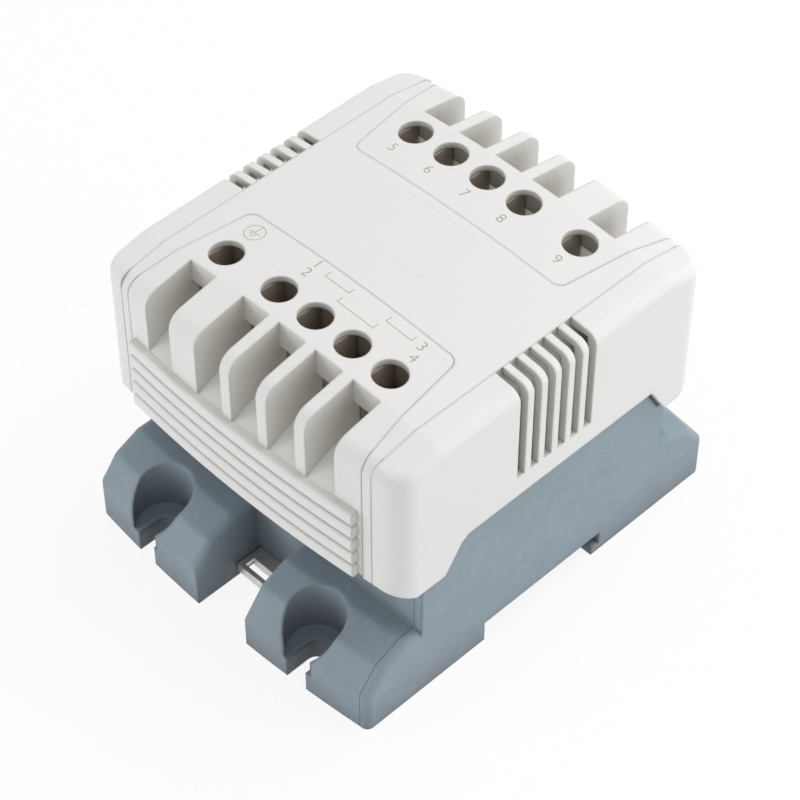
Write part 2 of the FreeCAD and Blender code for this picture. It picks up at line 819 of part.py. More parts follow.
def cut_rail_seat(body):
    """The rail recess, its fixed hook, and the channel and roof of the clip."""
    half = S.base_width / 2 + S.overcut
    under = -S.overcut
    cut(body, "rail", "X", -half, half,
        [(-S.rail_step, under), (S.hook_nose, under), (S.hook_nose, S.hook_height),
         (S.hook_heel, S.hook_height), (S.hook_heel, S.rail_depth),
         (-S.rail_step, S.rail_depth)])
    add(body, "hook_pad", "X", -S.hook_pad_half, S.hook_pad_half,
        box(S.hook_nose, S.hook_heel + S.bite, S.hook_height - S.bite, S.hook_pad))
    wide = S.clip_width / 2 + S.clip_play
    top = S.clip_level + S.clip_sheet + S.clip_play
    near, far = -S.tower_half - S.overcut, S.overcut - S.rail_step
    cut(body, "channel", "Z", S.clip_level - S.clip_play, top, box(-wide, wide, near, far))
    cut(body, "opening", "Z", under, S.clip_level,
        box(-S.clip_ledge / 2, S.clip_ledge / 2, near, far))
    room = S.spring_outer / 2 + S.spring_play
    roof = S.clip_level + S.clip_sheet / 2 + room
    back = S.peg_front - S.peg_length - S.spring_length - S.seam_gap
    cut(body, "spring_room", "Z", top - S.bite, roof,
        box(-room, room, -S.peg_front - S.overcut, -back))
    add(body, "peg", "Z", S.clip_level - S.overcut, roof + S.bite,
        box(-S.peg_width / 2, S.peg_width / 2, -S.peg_front, S.peg_length - S.peg_front))


# Release clip: a folded sheet that slides out along the base against a spring.

def make_clip():
    """The release clip."""
    body = new_body("din_clip")
    wide = S.clip_width / 2
    low, high = S.clip_level, S.clip_level + S.clip_sheet
    add(body, "sheet", "Z", low, high, box(-wide, wide, -S.clip_front, -S.clip_jaw))
    under = high - S.clip_lip
    add(body, "lip", "Z", under, high,
        box(-wide, wide, -S.clip_front, S.clip_sheet - S.clip_front))
    slot = S.clip_slot_length / 2
    slot_back = S.clip_front - S.clip_sheet + S.clip_play - S.clip_slot_width
    cut(body, "slot", "Z", low - S.overcut, high + S.overcut,
        box(-slot, slot, S.clip_sheet - S.clip_front, -slot_back))
    add(body, "tab", "Z", high - S.clip_tab, high,
        box(-slot, slot, -slot_back, S.clip_sheet - slot_back))
    window = S.clip_window / 2
    window_back = S.peg_front - S.peg_length - S.spring_length - S.spring_gap
    cut(body, "window", "Z", low - S.overcut, high + S.overcut,
        box(-window, window, -S.peg_front - S.clip_play, -window_back))
    add(body, "tongue", "Z", low, high,
        box(-S.tongue_half, S.tongue_half, -window_back - S.clip_tongue, S.bite - window_back))
    cut(body, "bevel", "X", -wide - S.overcut, wide + S.overcut,
        [(-S.clip_jaw - S.clip_bevel, low - S.bite), (S.bite - S.clip_jaw, low - S.bite),
         (S.bite - S.clip_jaw, high - S.clip_play)])
    doc.recompute()
    return body


def make_spring():
    """The clip's compression spring, lying along Y."""
    pitch_radius = (S.spring_outer - S.spring_wire) / 2
    length = S.spring_length - S.spring_wire - 2 * S.spring_gap
    helix = doc.addObject("Part::Helix", "spring_path")
    bind(helix, "Radius", pitch_radius)
    bind(helix, "Height", length)
    bind(helix, "Pitch", length / S.spring_turns)
    wire = doc.addObject("Part::Circle", "spring_section")
    bind(wire, "Radius", S.spring_wire / 2)
    wire.Placement = FreeCAD.Placement(
        V(pitch_radius.value, 0, 0), FreeCAD.Rotation(V(1, 0, 0), 90))
    spring = doc.addObject("Part::Sweep", "clip_spring")
    spring.Label = "clip_spring"
    spring.Sections = [wire]
    spring.Spine = helix
    spring.Solid = True
    spring.Frenet = True
    start = S.peg_length - S.peg_front + S.spring_wire / 2 + S.spring_gap
    level = S.clip_level + S.clip_sheet / 2
    spring.Placement = FreeCAD.Placement(
        V(0, start.value, level.value), FreeCAD.Rotation(V(1, 0, 0), -90))
    doc.recompute()
    return spring


# Core and coil: stacked E and I plates, the bobbin on the middle limb with its
# two windings, and the four screws that hold the core on the base's pillars.

def make_core():
    """The E stack and the I stack."""
    half_x, half_y = S.core_length / 2, S.core_depth / 2
    limb, yoke = S.core_limb / 2, S.core_depth / 2 - S.core_limb / 2
    low, high = S.core_seat, S.core_seat + S.core_stack
    outer = half_x - limb
    plates = new_body("e_laminations")
    add(plates, "plates", "Z", low, high,
        [(-half_x, -half_y), (half_x, -half_y), (half_x, yoke), (outer, yoke), (outer, -yoke),
         (limb, -yoke), (limb, yoke), (-limb, yoke), (-limb, -yoke), (-outer, -yoke),
         (-outer, yoke), (-half_x, yoke)])
    closing = new_body("i_laminations")
    add(closing, "plates", "Z", low, high, box(-half_x, half_x, yoke, half_y))
    radius = (S.core_screw + S.core_clearance) / 2
    for body, out in ((plates, -1), (closing, 1)):
        for word, side in (("left", -1), ("right", 1)):
            bore(body, word + "_hole", "Z", low - S.overcut, high + S.overcut,
                 side * S.core_hole_x, out * S.core_hole_y, radius)
    return plates, closing


def make_bobbin():
    """The bobbin with its two flanges."""
    body = new_body("bobbin")
    middle = S.core_seat + S.core_stack / 2
    yoke = S.core_depth / 2 - S.core_limb / 2 - S.bobbin_play
    across, up = tube_inside()
    wall = S.bobbin_wall
    add(body, "tube", "Y", -yoke, yoke,
        box(-across - wall, across + wall, middle - up - wall, middle + up + wall))
    for word, near, far in (("front", -yoke, wall - yoke), ("rear", yoke - wall, yoke)):
        add(body, word + "_flange", "Y", near, far,
            box(-S.flange_half_x, S.flange_half_x, middle - S.flange_half_z,
                middle + S.flange_half_z))
    cut(body, "limb", "Y", -yoke - S.overcut, yoke + S.overcut,
        box(-across, across, middle - up, middle + up))
    return body


def tube_inside():
    """Half the width and half the height of the bobbin's opening."""
    return S.core_limb / 2 + S.bobbin_play, S.core_stack / 2 + S.bobbin_play


def make_ring(name, start, build):
    """One wound layer round the bobbin's tube, from a distance out from it."""
    body = new_body(name)
    inside_x, inside_z = tube_inside()
    half = S.core_depth / 2 - S.core_limb / 2 - S.bobbin_play - S.bobbin_wall - S.coil_gap
    middle = S.core_seat + S.core_stack / 2
    for kind, reach in ((add, start + build), (cut, start)):
        across = inside_x + S.bobbin_wall + reach
        up = inside_z + S.bobbin_wall + reach
        flat_x, flat_z = across - reach, up - reach
        corners = [(-flat_x, middle - up), (flat_x, middle - up),
                   (across, middle - flat_z), (across, middle + flat_z),
                   (flat_x, middle + up), (-flat_x, middle + up),
                   (-across, middle + flat_z), (-across, middle - flat_z)]
        turns = {index: (reach, 1) for index in (1, 3, 5, 7)}
        kind(body, "outer" if kind is add else "inner", "Y", -half, half, corners, turns)
    doc.recompute()
    return body


def make_coil():
    """The primary, the barrier, the secondary and the outer wrap."""
    start = S.coil_gap
    layers = []
    for name, build in (("primary_winding", S.primary_build), ("winding_barrier", S.barrier_build),
                        ("secondary_winding", S.secondary_build), ("coil_wrap", S.wrap_build)):
        layers.append(make_ring(name, start, build))
        start = start + build + S.coil_gap
    return layers


def make_core_screw():
    """One core screw with its slot."""
    body = new_body("core_screw_master")
    seat = S.core_seat + S.core_stack + S.washer_sheet
    add_round(body, "shank", "Z", seat - S.core_screw_length, seat, 0, 0, S.core_screw / 2)
    return make_slotted_head(body, seat, 0)


def make_slotted_head(body, seat, row):
    """A cheese head with a screwdriver slot on a shank."""
    top = seat + S.clamp_head_height
    add_round(body, "head", "Z", seat, top, 0, row, S.clamp_head / 2)
    reach = S.clamp_head / 2 + S.overcut
    cut(body, "slot", "Z", top - S.slot_depth, top + S.overcut,
        box(-reach, reach, row - S.slot_width / 2, row + S.slot_width / 2))
    return body


def make_washer():
    """One plain washer under a core screw."""
    body = new_body("core_washer_master")
    low = S.core_seat + S.core_stack
    add_round(body, "disc", "Z", low, low + S.washer_sheet, 0, 0, S.washer_width / 2)
    bore(body, "hole", "Z", low - S.overcut, low + S.washer_sheet, 0, 0,
         (S.core_screw + S.core_clearance) / 2)
    return body


# Terminals: a block on the core at each end with one chamber a terminal, and in
# every chamber a contact bar, a pressing saddle and its clamp screw.

def make_block():
    """The front terminal block."""
    body = new_body("terminal_block_front")
    half = S.block_half
    low = S.core_seat + S.core_stack + S.seam_gap
    arch = S.crown_radius - S.lid_plate - S.seam_gap
    shoulder = S.cover_top - S.crown_radius + root(arch * arch - half * half)
    add(body, "form", "Y", -S.block_front, -S.block_back,
        [(-half, low), (half, low), (half, shoulder), (-half, shoulder)], {2: (arch, 1)})
    # Hollow under the chambers and room for the screw heads on the core
    under, side = low - S.overcut, half - S.block_side
    cut(body, "hollow", "Z", under, S.bar_seat - S.block_hollow,
        box(-side, side, S.block_wall - S.block_front, -S.block_back - S.block_wall))
    relief = S.core_hole_x - S.washer_width / 2 - S.relief_gap
    beyond = half + S.overcut
    for word, near, far in (("left", -beyond, -relief), ("right", relief, beyond)):
        cut(body, word + "_relief", "Z", under, low + S.relief_height,
            box(near, far, -S.block_front - S.overcut, S.overcut - S.block_back))
    cut_chamber(body, "earth", -S.earth_place)
    first = cut_chamber(body, "first", -S.terminal_place)
    repeat(body, "chambers", first, "H_Axis", S.terminal_run, S.terminal_count)
    return body


def cut_chamber(body, name, middle):
    """One chamber with its screw hole, its keyway and the slot for the bar's tail."""
    wide, tail = S.chamber_width / 2, S.bar_tail / 2 + S.bar_play
    key = middle - S.notch_shift
    chamber = cut(body, name + "_chamber", "Z", S.bar_seat, S.cover_top,
                  box(middle - wide, middle + wide, -S.block_front - S.overcut,
                      -S.chamber_back))
    keyway = cut(body, name + "_keyway", "Z", S.saddle_low, S.cover_top,
                 box(key - S.notch_width / 2, key + S.notch_width / 2,
                     -S.chamber_back - S.bite, S.notch_depth - S.chamber_back))
    tip = S.saddle_low + S.saddle_sheet - S.clamp_screw_length
    hole = bore(body, name + "_hole", "Z", tip - S.screw_room, S.bar_seat + S.overcut,
                middle, -S.terminal_row, S.clamp_screw / 2 + S.screw_play)
    slot = cut(body, name + "_tail", "Z", S.bar_seat, S.bar_seat + S.bar_sheet + 2 * S.bar_play,
               box(middle - tail, middle + tail, -S.chamber_back - S.bite,
                   S.overcut - S.block_back))
    return [chamber, keyway, hole, slot]


def make_bar():
    """One contact bar with its tail and solder tag."""
    body = new_body("contact_bar_master")
    half, tail = S.bar_width / 2, S.bar_tail / 2
    low, high = S.bar_seat, S.bar_seat + S.bar_sheet
    back = S.chamber_back + S.bar_play
    front = S.block_front - S.bar_inset
    add(body, "plate", "Z", low, high,
        [(-half, -front), (half, -front), (half, -back), (tail, -back),
         (tail, -S.tag_back), (-tail, -S.tag_back), (-tail, -back), (-half, -back)])
    add(body, "tag", "Z", S.tag_low, high, box(-tail, tail, -S.tag_back - S.bar_sheet, -S.tag_back))
    bore(body, "thread", "Z", low - S.overcut, high + S.overcut, 0, -S.terminal_row,
         S.clamp_screw / 2)
    return body


def make_saddle():
    """One saddle with its two turned-down lips."""
    body = new_body("saddle_master")
    half = S.saddle_side / 2
    high = S.saddle_low + S.saddle_sheet
    near, far = -S.terminal_row - half, half - S.terminal_row
    add(body, "plate", "Z", S.saddle_low, high, box(-half, half, near, far))
    for word, low_x in (("left", -half), ("right", half - S.saddle_lip_width)):
        add(body, word + "_lip", "Z", S.saddle_low - S.saddle_lip, high,
            box(low_x, low_x + S.saddle_lip_width, near, far))
    bore(body, "hole", "Z", S.saddle_low - S.overcut, high + S.overcut, 0, -S.terminal_row,
         S.clamp_screw / 2 + S.saddle_play)
    return body


def make_clamp_screw():
    """One clamp screw."""
    body = new_body("clamp_screw_master")
    seat = S.saddle_low + S.saddle_sheet
    add_round(body, "shank", "Z", seat - S.clamp_screw_length, seat, 0, -S.terminal_row,
              S.clamp_screw / 2)
    return make_slotted_head(body, seat, -S.terminal_row)


def wire(points, radius):
    """A round wire through points, with a ball at every bend."""
    pieces = []
    for start, end in zip(points, points[1:]):
        pieces.append(Part.makeCylinder(radius, (end - start).Length, start, end - start))
    for bend in points[1:-1]:
        pieces.append(Part.makeSphere(radius, bend))
    return pieces[0].fuse(pieces[1:]).removeSplitter()


def make_leads(places):
    """The pins that join the bobbin's flange to the solder tags of one row."""
    radius = S.lead_wire.value / 2
    tag = S.lead_gap.value - S.tag_back.value
    flange = S.bobbin_wall.value / 2 - S.core_depth.value / 2 + S.core_limb.value / 2
    flange += S.bobbin_play.value
    top = S.flange_top.value + S.lead_seat.value
    limit = S.flange_half_x.value - radius
    leads = []
    for x in places:
        end_x = max(-limit, min(limit, x))
        level = S.lead_height.value
        leads.append(wire([V(x, tag, level), V(end_x, flange, level), V(end_x, flange, top)],
                          radius))
    return Part.makeCompound(leads)


def make_strap():
    """The strap from the earth terminal's tag to one core screw."""
    body = new_body("earth_strap")
    low = S.core_seat + S.core_stack
    high = low + S.washer_sheet
    half = S.washer_width / 2
    inner = S.strap_gap - S.tag_back
    edge = S.strap_width / 2 - S.earth_place
    left, right = -S.core_hole_x - half, half - S.core_hole_x
    front, turn_back = -S.core_hole_y - half, S.strap_inset - S.block_back
    add(body, "foot", "Z", low, high,
        [(left, front), (right, front), (right, turn_back), (edge, turn_back),
         (edge, inner + S.washer_sheet), (left, inner + S.washer_sheet)])
    add(body, "riser", "Z", low, S.bar_seat,
        box(edge - S.strap_width, edge, inner, inner + S.washer_sheet))
    bore(body, "eye", "Z", low - S.overcut, high + S.overcut, -S.core_hole_x, -S.core_hole_y,
         (S.core_screw + S.core_clearance) / 2)
    return body


def build_all():
    """Every sub-part in its place."""
    lid = keep(make_terminal_cover())
    other_side("terminal_cover_rear", lid)
    keep(make_top_cover())
    cap = keep(make_side_cover())
    other_side("side_cover_left", cap)
    for body in (make_base(), make_clip(), make_spring(), *make_core(), make_bobbin(),
                 *make_coil(), make_strap()):
        keep(body)
    block = keep(make_block())
    other_side("terminal_block_rear", block)
    doc.recompute()
    # Rows of equal pieces: at the front, and the same row turned to the rear
    first = -S.terminal_place.value
    pitch = S.terminal_pitch.value
    places = [first + pitch * step for step in range(int(S.terminal_count.value))]
    row = [-S.earth_place.value, *places]
    for name, master in (("contact_bars", make_bar()), ("saddle_washers", make_saddle()),
                         ("clamp_screws", make_clamp_screw())):
        doc.recompute()
        front = [master.Shape.translated(V(x, 0, 0)) for x in row]
        rear = [shape.rotated(V(0, 0, 0), V(0, 0, 1), 180) for shape in front]
        shape_part(name, Part.makeCompound(front + rear))
    shape_part("secondary_leads", make_leads(places))
    shape_part("primary_leads", make_leads(row), HALF_TURN)
    x, y = S.core_hole_x.value, S.core_hole_y.value
    screw, washer = make_core_screw(), make_washer()
    doc.recompute()
    corners = [V(x, -y, 0), V(x, y, 0), V(-x, y, 0)]
    shape_part("core_washers", Part.makeCompound([washer.Shape.translated(at) for at in corners]))
    corners.append(V(-x, -y, 0))
    shape_part("core_screws", Part.makeCompound([screw.Shape.translated(at) for at in corners]))


def check_and_export():
    """Refuse anything broken, then write one file a sub-part."""
    for item in doc.Objects:
        if "Invalid" in item.State or "Error" in item.State:
            raise ValueError(f"{item.Name} did not compute: {item.getStatusString()}")
    for item in parts:
        if item.Shape.isNull() or not item.Shape.isValid():
            raise ValueError(f"{item.Label} has no sound shape")
    os.makedirs("parts", exist_ok=True)
    for item in parts:
        item.Shape.exportStep(f"parts/{item.Label}.step")


build_all()
doc.recompute()
check_and_export()
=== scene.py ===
import math

import bmesh
import bpy
from bpy.props import FloatProperty, FloatVectorProperty, PointerProperty
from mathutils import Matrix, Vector


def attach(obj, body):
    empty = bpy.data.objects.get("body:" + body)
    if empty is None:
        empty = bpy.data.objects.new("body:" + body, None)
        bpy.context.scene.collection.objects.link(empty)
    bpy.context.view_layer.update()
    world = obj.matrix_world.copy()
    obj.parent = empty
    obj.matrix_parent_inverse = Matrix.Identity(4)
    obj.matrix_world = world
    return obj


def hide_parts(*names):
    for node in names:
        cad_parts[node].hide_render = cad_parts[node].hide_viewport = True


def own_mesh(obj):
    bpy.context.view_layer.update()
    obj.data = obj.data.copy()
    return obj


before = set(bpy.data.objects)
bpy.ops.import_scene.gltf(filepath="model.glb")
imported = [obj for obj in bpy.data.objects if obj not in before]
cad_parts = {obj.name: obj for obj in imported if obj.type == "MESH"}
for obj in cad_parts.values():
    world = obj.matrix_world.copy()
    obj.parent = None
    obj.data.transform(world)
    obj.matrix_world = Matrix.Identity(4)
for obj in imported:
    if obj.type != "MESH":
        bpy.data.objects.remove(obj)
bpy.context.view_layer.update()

# Looks of a rail mounted transformer: a pale moulded housing with wire wells at
# both ends, a blue-grey base and a bright release clip. Metres, +Z up.

bl_info = {
    "name": "Rail Transformer Looks",
    "version": (1, 0, 0),
    "blender": (4, 5, 0),
    "location": "View3D > Sidebar > Transformer",
    "description": "Materials, marks and studio for a rail mounted transformer",
    "category": "Object",
}

MM = 0.001

# CAD nodes that share a finish, and the body that new pieces ride with
HOUSING = "housing"
COVERS = ("terminal_cover_front", "terminal_cover_rear", "top_cover",
          "side_cover_left", "side_cover_right")
BLOCKS = ("terminal_block_front", "terminal_block_rear")
PLATED = ("saddle_washers", "clamp_screws", "core_screws", "core_washers")

# The lid's crown about a lying axis, and the slope from it towards both ends
CROWN_RADIUS = 375 * MM
CROWN_TOP = 81.7 * MM
SLOPE_START = 35.3 * MM
SLOPE_GRADE = 2.85 / 15.1

# The seams around the lid: its corners, its rounding and where the top's brow starts
BROW_START = 44.6 * MM
SIDE_SEAM = 39.5 * MM
LID_CORNERS = ((32.1 * MM, 15.6 * MM), (36.9 * MM, 48.6 * MM))
LID_ROUND = 2.6 * MM
BEND_STEPS = 6

# The bare outlined area on the lid for a label
LABEL_LOW = (-12.0 * MM, -4.5 * MM)
LABEL_HIGH = (9.8 * MM, 13.0 * MM)
LABEL_LINE = 0.12 * MM

# Where the printed marks stand on the lid
TERMINALS = [x * MM for x in (-26.1, -9.03, 2.4, 13.83, 25.26)]
FRONT_NUMBERS = [(x * MM, y * MM) for x, y in
                 ((-8.8, -17.5), (-8.8, -21.0), (24.4, -18.5), (25.4, -22.2))]
REAR_NUMBERS = 21.4 * MM
EARTH_SIGN = (TERMINALS[0] - 0.4 * MM, -20.0 * MM)
WINDINGS = -18.9 * MM

# Strokes and letters: a stroke's short pieces, a ring's sides, a letter's size and thinning
STROKE_PIECE = 2 * MM
RING_SIDES = 40
LETTER_SIZE = 1.42
LETTER_THINNING = 0.012

# The mould split line: its upright plane, and where it ends on the front foot
SPLIT_PLACE = 43.3 * MM
SPLIT_END = -39.0 * MM

# How near to each other walls stand that get painted shade in the hollow between them
HOLLOW_REACH = 16 * MM


def color_property(name, description, default):
    """A colour setting."""
    return FloatVectorProperty(name=name, description=description, default=default,
                               size=3, min=0.0, max=1.0, subtype="COLOR")


def length_property(name, description, default):
    """A length setting in metres."""
    return FloatProperty(name=name, description=description, default=default,
                         min=0.0, precision=5, subtype="DISTANCE", unit="LENGTH")


def factor_property(name, description, default):
    """A setting from nought to one."""
    return FloatProperty(name=name, description=description, default=default,
                         min=0.0, max=1.0, subtype="FACTOR")


def power_property(name, description, default):
    """A lamp's power in watts."""
    return FloatProperty(name=name, description=description, default=default,
                         min=0.0, subtype="POWER", unit="POWER")


class TransformerCoverSettings(bpy.types.PropertyGroup):
    """Moulded covers"""

    color: color_property("Colour", "Colour of the pale covers", (0.755, 0.75, 0.735))
    roughness: factor_property("Roughness", "Roughness of the pale covers", 0.52)
    grain: length_property("Grain", "Size of the spark-eroded grain", 0.35 * MM)
    relief: factor_property("Relief", "Strength of the grain", 0.16)
    edge: length_property("Edge radius", "Softness of the moulded edges", 0.8 * MM)
    # strength of the painted shade in the wells
    hollow: factor_property("Hollow shade", "How far deep wells darken", 0.20)


class TransformerBaseSettings(bpy.types.PropertyGroup):
    """Blue-grey base"""

    color: color_property("Colour", "Colour of the base", (0.245, 0.305, 0.35))
    roughness: factor_property("Roughness", "Roughness of the base", 0.55)
    grain: length_property("Grain", "Size of the moulded grain", 0.45 * MM)
    relief: factor_property("Relief", "Strength of the grain", 0.22)
    edge: length_property("Edge radius", "Softness of the moulded edges", 1.5 * MM)
    # strength of the painted shade in the hollows
    hollow: factor_property("Hollow shade", "How far deep hollows darken", 0.42)


class TransformerMetalSettings(bpy.types.PropertyGroup):
    """Metal pieces"""

    zinc: color_property("Zinc", "Colour of the plated steel", (0.60, 0.59, 0.56))
    clip: color_property("Clip", "Colour of the release clip", (0.70, 0.69, 0.65))
    brass: color_property("Brass", "Colour of the contact bars", (0.66, 0.50, 0.24))
    steel: color_property("Core steel", "Colour of the core plates", (0.20, 0.20, 0.21))
    copper: color_property("Copper", "Colour of the enamelled wire", (0.55, 0.22, 0.10))
    edge: length_property("Edge radius", "Softness of the sheared edges", 0.12 * MM)
    plate: length_property("Core plate", "Thickness of one core plate", 0.5 * MM)
    wire: length_property("Wire", "Diameter of the enamelled wire", 0.6 * MM)


class TransformerInsideSettings(bpy.types.PropertyGroup):
    """Plastic pieces inside"""

    block: color_property("Blocks", "Colour of the terminal blocks", (0.30, 0.25, 0.205))
    bobbin: color_property("Bobbin", "Colour of the bobbin", (0.04, 0.04, 0.042))
    film: color_property("Film", "Colour of the film around the coil", (0.62, 0.46, 0.10))
    edge: length_property("Edge radius", "Softness of the moulded edges", 0.3 * MM)


class TransformerMarkSettings(bpy.types.PropertyGroup):
    """Printed marks and moulded lines"""

    ink: color_property("Ink", "Colour of the printed marks", (0.41, 0.37, 0.30))
    hairline: color_property("Hairlines", "Colour of the covers' hairlines",
                             (0.65, 0.645, 0.625))
    split_shade: color_property("Split shade", "Colour of the mould split line",
                                (0.075, 0.095, 0.115))
    digit: length_property("Digit height", "Height of the terminal numbers", 2.8 * MM)
    stroke: length_property("Stroke", "Width of the printed lines", 0.19 * MM)
    lift: length_property("Lift", "Height of the ink above the cover", 0.012 * MM)
    seam: length_property("Seam", "Width of the closed seams", 0.20 * MM)
    split: length_property("Split line", "Width of the base's mould split line", 0.17 * MM)


class TransformerStageSettings(bpy.types.PropertyGroup):
    """Camera, floor and lights"""

    camera_place: FloatVectorProperty(
        name="Camera place", description="Where the camera stands",
        default=(0.304946, -0.300877, 0.492301), size=3, subtype="TRANSLATION", unit="LENGTH")
    camera_turn: FloatVectorProperty(
        name="Camera turn", description="How the camera is turned",
        default=tuple(math.radians(turn) for turn in (42.9268, -0.0181, 45.5059)),
        size=3, subtype="EULER", unit="ROTATION")
    lens: FloatProperty(name="Lens", description="Focal length in millimetres",
                        default=121.45, min=1.0, unit="CAMERA")
    floor: color_property("Floor", "Colour of the floor", (0.95, 0.95, 0.95))
    glow: factor_property("Paper white", "How far the floor shows as plain white paper", 0.88)
    key: power_property("Key light", "Power of the light above in watts", 4.8)
    side: power_property("Side light", "Power of the light at the side in watts", 1.95)
    front: power_property("Front light", "Power of the light in front in watts", 3.1)
    world: FloatProperty(name="Room", description="Strength of the room's light",
                         default=0.57, min=0.0)


SETTINGS = {
    "transformer_cover": TransformerCoverSettings,
    "transformer_base": TransformerBaseSettings,
    "transformer_metal": TransformerMetalSettings,
    "transformer_inside": TransformerInsideSettings,
    "transformer_marks": TransformerMarkSettings,
    "transformer_stage": TransformerStageSettings,
}


def settings(word):
    """The scene's settings of one group."""
    return getattr(bpy.context.scene, "transformer_" + word)


def crown_height(x, y):
    """Height of the crowned top, which slopes down towards both ends."""
    radius = CROWN_RADIUS - SLOPE_GRADE * max(0.0, abs(y) - SLOPE_START)
    return CROWN_TOP - CROWN_RADIUS + math.sqrt(radius * radius - x * x)


class Shading:
    """One node material that is built step by step."""

    def __init__(self, name):
        self.material = bpy.data.materials.new(name)
        self.material.use_nodes = True
        tree = self.material.node_tree
        self.nodes, self.links = tree.nodes, tree.links
        self.surface = self.nodes["Principled BSDF"]
        self.place = self.add("ShaderNodeTexCoord").outputs["Object"]

    def add(self, kind, values=None, links=None, **options):
        """A node with its options, its fixed inputs and its linked inputs."""
        node = self.nodes.new(kind)
        for option, value in options.items():
            setattr(node, option, value)
        for socket, value in (values or {}).items():
            node.inputs[socket].default_value = value
        for socket, source in (links or {}).items():
            self.links.new(source, node.inputs[socket])
        return node

    def noise(self, size, detail=4.0, roughness=0.55, place=None):
        """Noise with features of about one size in metres."""
        return self.add("ShaderNodeTexNoise", {"Scale": 1.0 / size, "Detail": detail,
                                               "Roughness": roughness},
                        {"Vector": place or self.place}).outputs["Fac"]

    def band(self, source, given, wanted):
        """A value carried from one range to another."""
        return self.add("ShaderNodeMapRange",
                        {"From Min": given[0], "From Max": given[1],
                         "To Min": wanted[0], "To Max": wanted[1]},
                        {"Value": source}).outputs["Result"]

    def tint(self, source, color, share):
        """A colour that a value makes a little darker and lighter."""
        dark = (*(channel * (1 - share) for channel in color), 1.0)
        light = (*(min(1.0, channel * (1 + share)) for channel in color), 1.0)
        mix = self.add("ShaderNodeMix", {"A": dark, "B": light}, {"Factor": source},
                       data_type="RGBA")
        return mix.outputs["Result"]

    def hollow_shade(self, color, share, shade_weights):
        """A colour with painted shade: darker between close walls, less so on upward faces, as if
        lit from above.
        """
        open_sky = self.add("ShaderNodeAmbientOcclusion", {"Distance": HOLLOW_REACH},
                            samples=8).outputs["AO"]
        closed = self.band(open_sky, (0.25, 0.9), (1.0, 0.0))
        normal = self.add("ShaderNodeNewGeometry").outputs["Normal"]
        level = self.add("ShaderNodeSeparateXYZ", links={"Vector": normal}).outputs["Z"]
        # painted shade is kept weaker on upward faces, as if light fell on them from above
        kept = self.band(level, (0.3, 0.95), (1.0, 0.25))
        closed = self.add("ShaderNodeMath", links={0: closed, 1: kept},
                          operation="MULTIPLY").outputs["Value"]
        shade = (*(1 - share * weight for weight in shade_weights), 1.0)
        mix = self.add("ShaderNodeMix", {"B": shade}, {"Factor": closed, "A": color},
                       data_type="RGBA", blend_type="MULTIPLY")
        return mix.outputs["Result"]

    def scuffs(self, color, pale, share):
        """A colour with thin pale rub marks scattered over it."""
        drawn_out = self.add("ShaderNodeMapping", {"Scale": (1.0, 0.35, 1.0),
                                                   "Rotation": (0.3, 0.5, 0.7)},
                             {"Vector": self.place}).outputs["Vector"]
        rubbed = self.noise(2.2 * MM, detail=7.0, roughness=0.68, place=drawn_out)
        mix = self.add("ShaderNodeMix", {"B": (*pale, 1.0)},
                       {"Factor": self.band(rubbed, (0.60, 0.80), (0.0, share)), "A": color},
                       data_type="RGBA")
        return mix.outputs["Result"]

    def set(self, **values):
        """Fixed values of the surface itself."""
        for socket, value in values.items():
            self.surface.inputs[socket.replace("_", " ")].default_value = value

    def drive(self, socket, source):
        """Link a value into the surface."""
        self.links.new(source, self.surface.inputs[socket])

    def relief(self, height, strength, depth, over=None):
        """A fine relief, over other normals where they are given."""
        links = {"Height": height}
        if over:
            links["Normal"] = over
        bump = self.add("ShaderNodeBump", {"Strength": strength, "Distance": depth}, links)
        self.drive("Normal", bump.outputs["Normal"])

    def soft_edges(self, radius, height, strength, depth=0.02 * MM):
        """Rounded-looking edges, with a fine relief over them."""
        edge = self.add("ShaderNodeBevel", {"Radius": radius}, samples=6).outputs["Normal"]
        self.relief(height, strength, depth, edge)


def moulded(name, group, patch, share, rub, shade_weights):
    """Moulded plastic: fine eroded grain, faint cloudy patches, rub marks and painted shade in
    hollows.
    """
    shading = Shading(name)
    color = shading.tint(shading.noise(patch), group.color, share)
    pale = [channel + (1 - channel) * 0.4 for channel in group.color]
    color = shading.scuffs(color, pale, rub)
    # painted shade darkens the colour in hollows and between close walls
    shading.drive("Base Color", shading.hollow_shade(color, group.hollow, shade_weights))
    sheen = (group.roughness - 0.05, group.roughness + 0.06)
    shading.drive("Roughness", shading.band(shading.noise(patch * 0.4), (0.3, 0.7), sheen))
    shading.set(Specular_IOR_Level=0.42)
    shading.soft_edges(group.edge, shading.noise(group.grain, detail=2.0), group.relief)
    return shading.material


def inner_moulding(name, color, patch, share, roughness):
    """Plain moulded plastic of the pieces inside: cloudy patches and a fine grain."""
    shading = Shading(name)
    shading.drive("Base Color", shading.tint(shading.noise(patch), color, share))
    shading.set(Roughness=roughness)
    shading.soft_edges(settings("inside").edge, shading.noise(0.3 * MM), 0.2)
    return shading.material


def plated(name, color, edge, roughness):
    """Plated or bare metal with a mottled sheen and a fine grain."""
    shading = Shading(name)
    patch = shading.noise(1.6 * MM)
    shading.drive("Base Color", shading.tint(patch, color, 0.14))
    sheen = (roughness - 0.08, roughness + 0.12)
    shading.drive("Roughness", shading.band(patch, (0.3, 0.7), sheen))
    shading.set(Metallic=1.0)
    shading.soft_edges(edge, shading.noise(0.12 * MM, detail=3.0), 0.25)
    return shading.material


def rough_zinc(name, color, edge):
    """Coarse zinc plating: bright specks on a dull, uneven ground."""
    shading = Shading(name)
    speck = shading.noise(0.28 * MM, detail=5.0, roughness=0.65)
    bright = shading.band(speck, (0.36, 0.64), (0.0, 1.0))
    shading.drive("Base Color", shading.tint(bright, color, 0.24))
    shading.drive("Roughness", shading.band(speck, (0.38, 0.62), (0.50, 0.30)))
    shading.set(Metallic=0.85)
    shading.soft_edges(edge, speck, 0.5, 0.05 * MM)
    return shading.material


